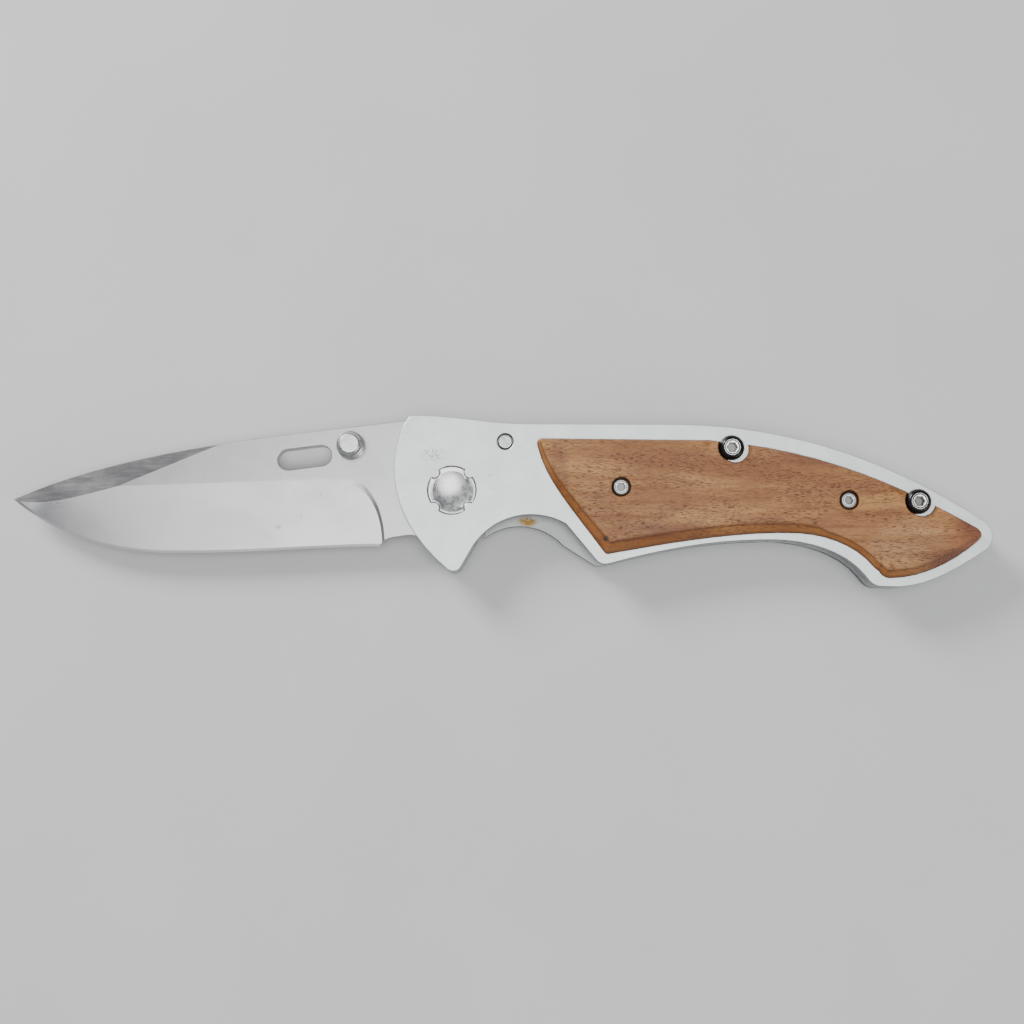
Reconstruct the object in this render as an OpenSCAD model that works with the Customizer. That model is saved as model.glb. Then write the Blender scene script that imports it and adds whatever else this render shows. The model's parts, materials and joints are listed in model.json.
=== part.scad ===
// Folding pocket knife with a frame lock, drawn open.
// The origin is on the pivot axis, at the outer face of the back slab.
// +X runs to the tail of the handle, +Y to the spine side and +Z out of the front slab.

/* [Handle] */
// Thickness of each steel slab
slab_t = 2.0; // [1.8:0.1:2.4]
// Width of the slot between the slabs
slot_t = 3.5; // [3.3:0.1:4.2]
// Depth of the pocket that the wood sits in
pocket_d = 1.0; // [0.5:0.1:1.3]
// Height of the wood above the front slab
wood_proud = 1.3; // [1.0:0.1:1.6]

/* [Blade] */
// Thickness of the blade
blade_t = 2.8; // [2.4:0.1:3.0]
// Angle of the ground face on each side of the blade
grind_angle = 5; // [3:0.5:5.5]
// Angle of the false edge on the spine
swedge_angle = 10.5; // [6:0.5:11]
// Length of the slot through the blade, end to end
blade_slot_l = 11; // [8:0.5:12]
// Width of the slot through the blade
blade_slot_w = 4.2; // [2:0.2:4.4]

/* [Pivot and stop] */
// Radius of the pivot barrel's body
barrel_r = 2.5; // [2.2:0.1:2.8]
// Radius of the pivot barrel's head
barrel_head_r = 4.87; // [4.6:0.01:5]
// Angle that the blade turns through to close
fold_angle = 173.5; // [170:0.5:174]
// Radius of the stop pin between the slabs
stop_r = 1.95; // [1.7:0.05:1.95]

/* [Lock] */
// Height that the lock bar's nose rises to when it holds the blade
lock_lift = 1.25; // [0.8:0.05:1.4]
// Width of the gap along the top of the lock bar
kerf = 0.8; // [0.5:0.1:1.2]
// Distance of the lock bar's bend from the pivot
flex_x = 64; // [58:1:66]

/* [Fasteners] */
// Radius of the button heads on the top edge
button_r = 2.55; // [2.3:0.05:2.8]
// Height of the button heads
button_h = 1.45; // [1:0.05:1.6]
// Radius of the spacers between the slabs
spacer_r = 2.0; // [1.7:0.05:2.1]
// Distance across the flats of the hex sockets
hex_af = 1.65; // [1.3:0.05:1.8]

/* [Hidden] */
$fn = 64;

// Heights of the faces, from the back of the knife to the front
slot_z = slab_t;
front_z = slot_z + slot_t;
face_z = front_z + slab_t;
wood_z = face_z + wood_proud;
blade_z = slot_z + (slot_t - blade_t) / 2;
blade_top_z = blade_z + blade_t;

// Clearances
running = 0.05;
hairline = 0.02;
past = 1;

// Places on the handle
stop_at = [10.7, 9.85];
mid_at = [56.2, 8.5];
tail_at = [93.3, -2.4];
fore_at = [33.9, 0.5];
aft_at = [79.3, -2.2];
detent_at = [10.6, -4.6];
notch_shift = [0.75, -0.25];
notch_r = 2.75;

// Places on the blade
stud_at = [-20.5, 9.2];
blade_slot_at = [-30, 6.9];
blade_slot_turn = 7;

// Small radii
stop_end_r = 1.38;
thread_r = 0.95;
stud_screw_r = 1.0;
pivot_thread_r = 1.5;
pivot_screw_r = 3.1;
pivot_screw_h = 0.8;
barrel_head_h = 1.5;
washer_r = 6.2;
rim_notch_r = 1.1;
rim_notch_at = 5.0;
detent_r = 0.8;
detent_proud = 0.28;
flat_screw_r = 2.0;
flat_screw_h = 1.0;
wood_screw_r = 1.8;
wood_bore_r = 2.0;
wood_bore_d = 1.5;

// The tang: its radius under the pivot, its radius where it clears the stop pin, and its shoulder's reach
tang_low_r = 10.4;
tang_r = 12.2;
shoulder_r = 14.6;
stop_turn = atan2(stop_at.y, stop_at.x);
stop_reach = norm(stop_at);
shoulder_turn = stop_turn + asin(stop_r / stop_reach) + 0.25;

// The lock bar's nose leans, so that it wedges against the tang: x at a height y
nose_top = [7.4, -1.9];
nose_lean = 0.132;
function nose_x(y) = nose_top.x + (y - nose_top.y) * nose_lean;
lock_gap = 0.08;

// The lock bar bends about this height in the web that its relief groove leaves
relief_r = 3;
relief_d = 1.2;
web_z = (slab_t + relief_d) / 2;
lock_turn = asin(lock_lift / (flex_x - nose_top.x));
flex_gap = 0.15;

// Point at a distance and an angle from the origin
function polar(r, a) = [r * cos(a), r * sin(a)];

// Points along an arc about a centre, from angle a to angle b
function arc(centre, r, a, b, n = 6) = [for (i = [0:n]) centre + polar(r, a + (b - a) * i / n)];

// Points along a cubic curve from a to d that b and c pull on
function curve(a, b, c, d, n = 8) = [
    for (i = [0:n])
        let (t = i / n, u = 1 - t)
        u * u * u * a + 3 * u * u * t * b + 3 * u * t * t * c + t * t * t * d
];

// The finger choil of the front slab, from the guard to the corner behind it
front_choil = concat(
    arc([15.9, -18.9], 14, 145.7, 60, 14),
    arc([30.6, -12.7], 2.15, 215, 285, 5)
);

// The shallower finger choil of the back slab, where the thumb reaches the lock bar
back_choil = concat(
    [[4.4, -10.9], [5, -9.9]],
    arc([13.6, -18.9], 12, 130, 42, 12),
    arc([29.6, -12.85], 2.15, 225, 282, 4)
);

// The handle's outline, anticlockwise from the top front corner
function handle(choil) = concat(
    arc([-7.9, 14], 1.2, 90, 165, 4),
    curve([-9.4, 13.9], [-13.3, 6.5], [-13.1, -5.5], [-0.9, -15.8], 14),
    arc([0.3, -14.5], 1.75, 240, 332, 6),
    choil,
    curve([32, -14.6], [42, -11.9], [52, -10.1], [62, -10]),
    curve([64, -10], [71, -10], [78.5, -12.2], [82.3, -17]),
    arc([85.6, -16.2], 3.1, 213, 268, 5),
    curve([87, -19.35], [93, -19.9], [99, -16.9], [106, -12.3]),
    arc([104.5, -9.2], 3.45, -55, 52, 9),
    curve([106.1, -6.1], [90, 4.6], [70, 13], [46, 13.3], 14),
    curve([14, 13.45], [7, 13.6], [2, 15], [-7, 15.2], 6)
);

// The wood's outline, anticlockwise from its bottom front corner
wood_outline = concat(
    arc([31.2, -12], 0.8, 205, 270, 4),
    curve([32, -12.65], [42, -10.9], [54, -8.7], [65, -8.6]),
    curve([67, -8.6], [74, -8.5], [80.5, -10.8], [84.2, -15.5]),
    arc([87.2, -15.4], 2.2, 205, 270, 5),
    curve([88, -17.6], [93.5, -17.4], [99.5, -14.8], [104.9, -10.3]),
    arc([104.5, -9], 1.2, -45, 55, 5),
    curve([105, -7.8], [92, -0.4], [76, 8], [52, 10], 12),
    arc([18.1, 9.5], 0.9, 90, 185, 4),
    curve([17.25, 9.1], [18.8, 2], [24, -3.5], [30.2, -12], 8)
);

// The blade's outline, clockwise from the tip along the spine, round the tang and back along the edge
shoulder_top = polar(shoulder_r, shoulder_turn);
blade_outline = concat(
    curve([-89.3, -1.35], [-72, 6.4], [-52, 9.9], [-10.3, 14.4], 14),
    curve([-9, 14.5], [-4, 14.9], [4, 14], shoulder_top, 6),
    arc([0, 0], tang_r, shoulder_turn, -6, 10),
    [[8.6, -1.4], [nose_x(-2.2) - lock_gap, -2.2], [nose_x(-8.8) - lock_gap, -8.8]],
    arc([0, 0], tang_low_r, -60, -115, 8),
    [[-8.3, -8.9], [-9.5, -8.97], [-10.6, -9.15]],
    curve([-12.2, -9.4], [-13.4, -9.6], [-14.3, -10.4], [-14.8, -11.1], 4),
    curve([-16, -11], [-28, -11.2], [-42, -12.4], [-55, -12.35]),
    curve([-56, -12.35], [-69, -12.4], [-79.5, -9.2], [-89, -1.7], 12)
);

// The blade's ground face reaches up to this line and forward from the plunge behind it
grind_at = [-20.5, 2.75];
grind_turn = 2;
plunge_foot = [-13.6, -10.6];

// The false edge starts on this line
swedge_at = [-66.7, 1.6];
swedge_turn = 22.5;

// A cylinder at a place in the plan, between two heights
module rod(at, r, low, high) {
    translate([at.x, at.y, low])
        cylinder(r = r, h = high - low);
}

// A hex socket that opens at a height
module socket(at, top, depth) {
    translate([at.x, at.y, top - depth])
        cylinder(r = hex_af / sqrt(3), h = depth + past, $fn = 6);
}

// A head whose top is a low dome with a flat ring round its socket
module domed_head(at, r, low, h) {
    ring = r * 0.6;
    translate([at.x, at.y, low])
        rotate_extrude()
            polygon(concat(
                [[0, 0], [r, 0]],
                [for (i = [0:5]) [ring + (r - ring) * cos(i * 18), h * (0.3 + 0.7 * sin(i * 18))]],
                [[0, h]]
            ));
}

// A blade bevel: all that lies past a line on the top face and above a plane that tilts down from it
module bevel(at, turn, tilt) {
    reach = 120;
    translate([at.x, at.y, blade_top_z])
        rotate([0, 0, turn])
            rotate([-tilt, 0, 0])
                translate([-reach, 0, 0])
                    cube([2 * reach, reach / 3, reach / 20]);
}

// The child, and its mirror image in the blade's middle plane
module both_sides() {
    children();
    translate([0, 0, blade_z + blade_top_z])
        mirror([0, 0, 1])
            children();
}

module inlay_plan(low, high) {
    difference() {
        translate([0, 0, low])
            linear_extrude(high - low)
                polygon(wood_outline);
        for (at = [mid_at, tail_at]) {
            rod(at, button_r + running, low - past, high + past);
            rod(at + notch_shift, notch_r, low - past, high + past);
        }
    }
}

module pivot_head_plan(r, notch, low, high) {
    difference() {
        rod([0, 0], r, low, high);
        for (a = [45:90:315])
            rod(polar(rim_notch_at, a), notch, low - past, high + past);
    }
}

module front_slab() {
    color("gainsboro")
        difference() {
            translate([0, 0, front_z])
                linear_extrude(slab_t)
                    polygon(handle(front_choil));
            inlay_plan(face_z - pocket_d, face_z + past);
            pivot_head_plan(barrel_head_r + running, rim_notch_r - running,
                            face_z - barrel_head_h, face_z + past);
            rod([0, 0], barrel_r + running, front_z - past, face_z);
            rod(stop_at, stop_end_r + 0.3, front_z - past, face_z + past);
            for (at = [mid_at, tail_at])
                rod(at, thread_r + 0.1, front_z - past, face_z + past);
            for (at = [fore_at, aft_at])
                rod(at, thread_r, front_z - past, face_z);
        }
}

// The relief groove across the root of the lock bar, on the outer face
module relief() {
    translate([flex_x, 0, relief_d - relief_r])
        rotate([-90, 0, 0])
            translate([0, 0, -30])
                cylinder(r = relief_r, h = 30 + nose_top.y + kerf);
}

// What the lock bar and the gap round it take out of the back slab
module lock_space() {
    gap_top = nose_top.y + kerf;
    translate([0, 0, -past])
        linear_extrude(slab_t + 2 * past)
            polygon([
                [5, -9.9],
                [nose_x(gap_top) - kerf, gap_top],
                [flex_x + flex_gap, gap_top],
                [flex_x + flex_gap, -20],
                [5, -20]
            ]);
}

module back_slab() {
    color("silver")
        difference() {
            linear_extrude(slab_t)
                polygon(handle(back_choil));
            lock_space();
            relief();
            rod([flex_x - 0.6, nose_top.y + kerf / 2], 1.1, -past, slab_t + past);
            rod([0, 0], barrel_r + running, -past, slab_t + past);
            rod([0, 0], pivot_screw_r + running, -past, pivot_screw_h + 0.1);
            rod(stop_at, stop_end_r + running, -past, slab_t + past);
            for (at = [mid_at, tail_at]) {
                rod(at, thread_r + 0.1, -past, slab_t + past);
                rod(at, flat_screw_r + running, -past, flat_screw_h + 0.1);
            }
        }
}

// Raises what lies flush in the lock bar to its locked place
module locked() {
    translate([flex_x, 0, web_z])
        rotate([0, lock_turn, 0])
            translate([-flex_x, 0, -web_z])
                children();
}

module lock_bar() {
    color("silver")
        locked()
            difference() {
                linear_extrude(slab_t)
                    intersection() {
                        polygon(handle(back_choil));
                        polygon([
                            [nose_x(-14), -14],
                            [nose_x(nose_top.y - 0.6), nose_top.y - 0.6],
                            [nose_top.x + 0.6, nose_top.y],
                            [flex_x, nose_top.y],
                            [flex_x, -14],
                            [flex_x, -20],
                            [nose_x(-14), -20]
                        ]);
                    }
                relief();
                rod([flex_x - 0.6, nose_top.y + kerf / 2], 1.1, -past, slab_t + past);
                rod(detent_at, detent_r + hairline, -past, slab_t + past);
            }
}

module detent_ball() {
    color("dimgray")
        locked()
            translate([detent_at.x, detent_at.y, slab_t + detent_proud - detent_r])
                sphere(r = detent_r);
}

module blade() {
    color("lightgray")
        difference() {
            translate([0, 0, blade_z])
                linear_extrude(blade_t)
                    polygon(blade_outline);
            both_sides()
                intersection() {
                    bevel(grind_at, grind_turn + 180, grind_angle);
                    translate([0, 0, blade_z])
                        linear_extrude(2 * blade_t)
                            polygon([grind_at, plunge_foot, [plunge_foot.x, -20], [-95, -20], [-95, 5]]);
                }
            both_sides()
                bevel(swedge_at, swedge_turn, swedge_angle);
            rod([0, 0], barrel_r + running, slot_z, front_z);
            rod(stud_at, stud_screw_r + running, slot_z, front_z);
            translate([stud_at.x, stud_at.y, blade_z - hairline])
                cylinder(r1 = stud_screw_r + 0.9, r2 = stud_screw_r + running, h = 0.9);
            rod(polar(norm(detent_at), atan2(detent_at.y, detent_at.x) - fold_angle),
                detent_r + 0.2, slot_z, blade_z + 0.6);
            translate([blade_slot_at.x, blade_slot_at.y, slot_z])
                rotate([0, 0, blade_slot_turn])
                    linear_extrude(slot_t)
                        for (side = [0, 180])
                            rotate([0, 0, side]) {
                                translate([(blade_slot_l - blade_slot_w) / 2, 0])
                                    circle(d = blade_slot_w);
                                translate([-0.1, -blade_slot_w / 2])
                                    square([(blade_slot_l - blade_slot_w) / 2 + 0.1, blade_slot_w]);
                            }
        }
}

module pivot_barrel() {
    dish_r = barrel_head_r * 0.8;
    dish_d = 0.8;
    dish_ball_r = (dish_r * dish_r + dish_d * dish_d) / (2 * dish_d);
    color("gainsboro")
        difference() {
            union() {
                pivot_head_plan(barrel_head_r, rim_notch_r,
                                face_z - barrel_head_h + hairline, face_z - hairline);
                rod([0, 0], barrel_r, pivot_screw_h + 0.15, face_z - barrel_head_h + 0.1);
            }
            translate([0, 0, face_z - dish_d + dish_ball_r])
                sphere(r = dish_ball_r, $fn = 128);
            rod([0, 0], pivot_thread_r + hairline, 0, front_z);
        }
}

module pivot_screw() {
    color("dimgray")
        difference() {
            union() {
                rod([0, 0], pivot_screw_r, 0.1, pivot_screw_h + 0.1);
                rod([0, 0], pivot_thread_r, pivot_screw_h, front_z - 0.5);
            }
            translate([0, 0, -past])
                cylinder(r = 1.4, h = past + 0.9, $fn = 6);
        }
}

module washer(low, high) {
    difference() {
        rod([0, 0], washer_r, low + hairline, high - hairline);
        rod([0, 0], barrel_r + 2 * running, low - past, high + past);
    }
}

module front_washer() {
    color("peru")
        washer(blade_top_z, front_z);
}

module back_washer() {
    color("peru")
        washer(slot_z, blade_z);
}

module stop_pin() {
    color("lightgray")
        union() {
            rod(stop_at, stop_r, slot_z + hairline, front_z - hairline);
            rod(stop_at, stop_end_r, 0.2, face_z - 0.25);
        }
}

module thumb_stud() {
    base_r = 2.85;
    neck_r = 2.3;
    top_r = 2.45;
    top_z = blade_top_z + 4.5;
    color("silver")
        difference() {
            translate([stud_at.x, stud_at.y, 0])
                rotate_extrude()
                    polygon([
                        [0, blade_top_z + hairline],
                        [base_r, blade_top_z + hairline],
                        [base_r, blade_top_z + 0.9],
                        [neck_r, blade_top_z + 1.3],
                        [neck_r, blade_top_z + 2.1],
                        [base_r - 0.1, blade_top_z + 2.4],
                        [base_r - 0.1, blade_top_z + 2.8],
                        [neck_r, blade_top_z + 3.1],
                        [top_r, top_z - 0.9],
                        [top_r - 0.3, top_z - 0.3],
                        [1.7, top_z],
                        [0, top_z]
                    ]);
            rod(stud_at, stud_screw_r + hairline, 0, blade_top_z + 2.5);
        }
}

module thumb_stud_screw() {
    color("dimgray")
        difference() {
            union() {
                translate([stud_at.x, stud_at.y, blade_z + 0.1])
                    cylinder(r1 = stud_screw_r + 0.7, r2 = stud_screw_r, h = 0.7);
                rod(stud_at, stud_screw_r, blade_z + 0.5, blade_top_z + 2.2);
            }
            translate([stud_at.x, stud_at.y, blade_z - past])
                cylinder(r = 0.7, h = past + 0.9, $fn = 6);
        }
}

module wood_inlay() {
    color("peru")
        difference() {
            inlay_plan(face_z - pocket_d, wood_z);
            for (at = [fore_at, aft_at]) {
                rod(at, wood_bore_r, wood_z - wood_bore_d, wood_z + past);
                rod(at, thread_r + 0.1, front_z, wood_z);
            }
        }
}

module wood_screw(at) {
    head_z = wood_z - wood_bore_d;
    color("gray")
        difference() {
            union() {
                domed_head(at, wood_screw_r, head_z, 1.2);
                rod(at, thread_r, front_z + 0.1, head_z + 0.1);
            }
            socket(at, head_z + 1.2, 0.8);
        }
}

module wood_screw_fore() {
    wood_screw(fore_at);
}

module wood_screw_aft() {
    wood_screw(aft_at);
}

module spacer(at) {
    color("darkgray")
        difference() {
            rod(at, spacer_r, slot_z, front_z);
            rod(at, thread_r + hairline, slot_z - past, front_z + past);
        }
}

module spacer_mid() {
    spacer(mid_at);
}

module spacer_tail() {
    spacer(tail_at);
}

// A button-head screw that comes in from the front
module button_screw(at) {
    color("dimgray")
        difference() {
            union() {
                domed_head(at, button_r, face_z, button_h);
                rod(at, thread_r, front_z - 1.4, face_z + 0.1);
            }
            socket(at, face_z + button_h, 1);
        }
}

module spacer_screw_mid_front() {
    button_screw(mid_at);
}

module spacer_screw_tail_front() {
    button_screw(tail_at);
}

// A flat-head screw that lies just under the back face
module flat_screw(at) {
    color("dimgray")
        difference() {
            union() {
                rod(at, flat_screw_r, 0.1, flat_screw_h + 0.1);
                rod(at, thread_r, flat_screw_h, slot_z + 1.6);
            }
            translate([at.x, at.y, -past])
                cylinder(r = hex_af / sqrt(3), h = past + 0.7, $fn = 6);
        }
}

module spacer_screw_mid_back() {
    flat_screw(mid_at);
}

module spacer_screw_tail_back() {
    flat_screw(tail_at);
}

front_slab();
back_slab();
lock_bar();
detent_ball();
blade();
pivot_barrel();
pivot_screw();
front_washer();
back_washer();
stop_pin();
thumb_stud();
thumb_stud_screw();
wood_inlay();
wood_screw_fore();
wood_screw_aft();
spacer_mid();
spacer_tail();
spacer_screw_mid_front();
spacer_screw_tail_front();
spacer_screw_mid_back();
spacer_screw_tail_back();
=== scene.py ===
"""A folding pocket knife, open, on a pale floor.

Places and sizes are in millimetres in the CAD model's frame: +X to the tail, +Y to the spine, +Z up.
MM turns them into metres where a mesh, a material or the camera is made. Lamps are placed in metres.
"""

import bmesh
import bpy
import json
import math
import numpy as np
from mathutils import Euler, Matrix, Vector
from mathutils.geometry import delaunay_2d_cdt


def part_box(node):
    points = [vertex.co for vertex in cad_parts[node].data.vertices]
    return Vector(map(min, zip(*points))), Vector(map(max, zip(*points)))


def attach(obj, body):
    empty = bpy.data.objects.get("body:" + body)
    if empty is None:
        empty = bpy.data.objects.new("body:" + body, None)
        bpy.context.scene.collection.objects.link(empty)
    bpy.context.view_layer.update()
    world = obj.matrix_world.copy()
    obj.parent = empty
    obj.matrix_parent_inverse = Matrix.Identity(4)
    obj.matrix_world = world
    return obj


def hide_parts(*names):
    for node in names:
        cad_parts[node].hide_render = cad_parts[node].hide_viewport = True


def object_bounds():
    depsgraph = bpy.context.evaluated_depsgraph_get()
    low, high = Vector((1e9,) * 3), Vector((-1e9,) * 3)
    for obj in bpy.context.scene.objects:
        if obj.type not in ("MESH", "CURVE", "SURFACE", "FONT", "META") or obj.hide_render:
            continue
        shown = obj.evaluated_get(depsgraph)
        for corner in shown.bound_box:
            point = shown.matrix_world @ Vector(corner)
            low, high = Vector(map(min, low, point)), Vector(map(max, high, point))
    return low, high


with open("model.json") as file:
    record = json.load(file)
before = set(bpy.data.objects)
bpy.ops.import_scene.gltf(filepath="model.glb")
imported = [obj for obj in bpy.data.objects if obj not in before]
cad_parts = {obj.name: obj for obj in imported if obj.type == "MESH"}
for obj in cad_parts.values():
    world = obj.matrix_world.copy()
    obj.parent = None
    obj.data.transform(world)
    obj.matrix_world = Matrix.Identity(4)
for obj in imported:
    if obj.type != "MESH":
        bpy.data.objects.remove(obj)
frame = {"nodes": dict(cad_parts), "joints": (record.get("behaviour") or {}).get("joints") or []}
CAD_LOW, CAD_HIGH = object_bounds()
NODES = frame["nodes"]
MM = 0.001


def heights_of(node):
    """A CAD node's lowest and highest z."""
    return tuple(corner.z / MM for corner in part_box(node))


def centre_of(node):
    """The middle of a CAD node's box in the plan."""
    low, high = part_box(node)
    return np.array([(low.x + high.x) / 2, (low.y + high.y) / 2]) / MM


# Heights and places that the CAD model fixes
BACK_Z = heights_of("back_slab")[0]
FACE_Z = heights_of("front_slab")[1]
WOOD_LOW, WOOD_TOP = heights_of("wood_inlay")
BLADE_LOW, BLADE_TOP = heights_of("blade")
BLADE_MID = (BLADE_LOW + BLADE_TOP) / 2
BLADE_HALF = (BLADE_TOP - BLADE_LOW) / 2
STUD = centre_of("thumb_stud")
BALL = centre_of("detent_ball")

# How far apart the points of a large outline are
OUTLINE_STEP = 0.3


# ---------------------------------------------------------------- plan outlines

def section(node, z):
    """The closed outlines where a level plane at z cuts a CAD node, largest first, as arrays of points."""
    bm = bmesh.new()
    bm.from_mesh(NODES[node].data)
    bmesh.ops.remove_doubles(bm, verts=bm.verts, dist=1e-7)
    everything = list(bm.verts) + list(bm.edges) + list(bm.faces)
    level = {"plane_co": (0, 0, z * MM), "plane_no": (0, 0, 1)}
    cut = bmesh.ops.bisect_plane(bm, geom=everything, dist=1e-8, **level)
    beside = {}
    for edge in cut["geom_cut"]:
        if isinstance(edge, bmesh.types.BMEdge):
            a, b = edge.verts
            beside.setdefault(a, []).append(b)
            beside.setdefault(b, []).append(a)
    loops = []
    used = set()
    for start in beside:
        loop = []
        ahead = [] if start in used else [start]
        while ahead:
            here = ahead[0]
            used.add(here)
            loop.append(here)
            ahead = [v for v in beside[here] if v not in used]
        if len(loop) > 2:
            loops.append(np.array([[v.co.x, v.co.y] for v in loop]) / MM)
    bm.free()
    return sorted(loops, key=lambda p: -abs(signed_area(p)))


def signed_area(p):
    q = np.roll(p, -1, axis=0)
    return float(np.sum(p[:, 0] * q[:, 1] - q[:, 0] * p[:, 1]) / 2)


def anticlockwise(p):
    return p if signed_area(p) > 0 else p[::-1]


def closed(p):
    """An outline as a line that ends where it starts."""
    return np.vstack([p, p[:1]])


def resampled(p, step, is_closed=True):
    """The same line with points at most step apart, corners kept."""
    q = np.roll(p, -1, axis=0) if is_closed else p[1:]
    out = []
    for a, b in zip(p, q):
        count = max(1, math.ceil(np.linalg.norm(b - a) / step))
        out += [a + (b - a) * i / count for i in range(count)]
    if not is_closed:
        out.append(p[-1])
    return np.array(out)


def without_duplicates(p, least=0.02):
    """The same outline without points nearer than least to the one before."""
    keep = [p[0]]
    for q in p[1:]:
        if np.linalg.norm(q - keep[-1]) > least:
            keep.append(q)
    if np.linalg.norm(keep[0] - keep[-1]) < least:
        keep.pop()
    return np.array(keep)


def normals_of(p):
    """Outward normals of an anticlockwise outline."""
    along = np.roll(p, -1, axis=0) - np.roll(p, 1, axis=0)
    along /= np.linalg.norm(along, axis=1)[:, None]
    return np.c_[along[:, 1], -along[:, 0]]


def inside(points, loop):
    """Which points lie inside a closed outline."""
    x, y = points[:, 0], points[:, 1]
    within = np.zeros(len(points), bool)
    for (x0, y0), (x1, y1) in zip(loop, np.roll(loop, -1, axis=0)):
        if y0 != y1:
            across = (y0 > y) != (y1 > y)
            within ^= across & (x < (x1 - x0) * (y - y0) / (y1 - y0) + x0)
    return within


def distance_to(points, line, weights=None):
    """Each point's least distance to the points of a line, each divided by that line point's weight."""
    best = np.full(len(points), 1e9)
    batch = 2000
    for i in range(0, len(points), batch):
        gap = np.linalg.norm(points[i:i + batch, None] - line[None], axis=2)
        best[i:i + batch] = (gap / weights if weights is not None else gap).min(1)
    return best


def segment_distance(points, line, is_closed=True):
    """Each point's least distance to the straight stretches of a line."""
    best = np.full(len(points), 1e9)
    ends = np.roll(line, -1, axis=0) if is_closed else line[1:]
    for a, b in zip(line, ends):
        along = b - a
        t = np.clip(((points - a) @ along) / max(along @ along, 1e-12), 0, 1)
        best = np.minimum(best, np.linalg.norm(points - a - t[:, None] * along, axis=1))
    return best


def distance_from(points, centre):
    return np.linalg.norm(points - centre, axis=1)


def grid_inside(loop, holes, step, clear):
    """Points of a staggered grid inside an outline and outside its holes, clear of every edge."""
    low, high = loop.min(0), loop.max(0)
    columns = np.arange(low[0], high[0], step)
    rows = np.arange(low[1], high[1], step * 0.87)
    grid = np.array([[x + step / 2 * (j % 2), y] for j, y in enumerate(rows) for x in columns])
    keep = inside(grid, loop) & (segment_distance(grid, loop) > clear)
    for hole in holes:
        keep &= ~inside(grid, hole) & (segment_distance(grid, hole) > clear)
    return grid[keep]


def ring_inside(loop, distance):
    """Points along the inside of an anticlockwise outline, at a distance from it."""
    ring = loop - distance * normals_of(loop)
    return ring[segment_distance(ring, loop) > distance * 0.9]


def circle(centre, r, count=48):
    turn = np.linspace(0, 2 * math.pi, count, endpoint=False)
    return np.asarray(centre) + r * np.c_[np.cos(turn), np.sin(turn)]


def circles(centre, radii, count=72):
    return np.vstack([circle(centre, r, count) for r in radii])


def hexagon(centre, across_flats):
    """A hexagon's outline with four points to a side."""
    side = across_flats / math.sqrt(3)
    return resampled(circle(centre, side, 6), side / 4)


# ---------------------------------------------------------------- meshes

def triangulated(loops, lines=(), points=()):
    """A triangle mesh of the area inside the first loop and outside the others. It keeps every loop and line.

    Returns its points, its triangles, and its border as pairs of point numbers.
    """
    verts, edges = [], []
    for path, is_closed in [(loop, True) for loop in loops] + [(line, False) for line in lines]:
        first, count = len(verts), len(path)
        verts += [Vector(p) for p in path]
        edges += [(first + i, first + (i + 1) % count) for i in range(count if is_closed else count - 1)]
    verts += [Vector(p) for p in points]
    keep_inside_outline = 1
    out_verts, _, out_faces, *_ = delaunay_2d_cdt(verts, edges, [], keep_inside_outline, 1e-6)
    plan = np.array([[v.x, v.y] for v in out_verts])
    tri = np.array([f for f in out_faces if len(f) == 3])
    middle = plan[tri].mean(1)
    for hole in loops[1:]:
        solid = ~inside(middle, hole)
        tri, middle = tri[solid], middle[solid]
    sides = dict.fromkeys(side for a, b, c in tri for side in ((a, b), (b, c), (c, a)))
    return plan, tri, [(a, b) for a, b in sides if (b, a) not in sides]


def finished(name, verts, faces, sharp_deg):
    """An object from points in mm and faces, cleaned, and shaded smooth up to an angle."""
    mesh = bpy.data.meshes.new(name)
    mesh.from_pydata([tuple(c * MM for c in v) for v in verts], [], [tuple(int(i) for i in f) for f in faces])
    bm = bmesh.new()
    bm.from_mesh(mesh)
    bmesh.ops.remove_doubles(bm, verts=bm.verts, dist=2e-6)
    bmesh.ops.dissolve_degenerate(bm, dist=1e-7, edges=bm.edges)
    loose = [v for v in bm.verts if not v.link_faces]
    bmesh.ops.delete(bm, geom=loose, context="VERTS")
    bmesh.ops.recalc_face_normals(bm, faces=bm.faces)
    bm.to_mesh(mesh)
    bm.free()
    mesh.shade_smooth()
    mesh.set_sharp_from_angle(angle=math.radians(sharp_deg))
    piece = bpy.data.objects.new(name, mesh)
    bpy.context.scene.collection.objects.link(piece)
    return piece


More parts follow.
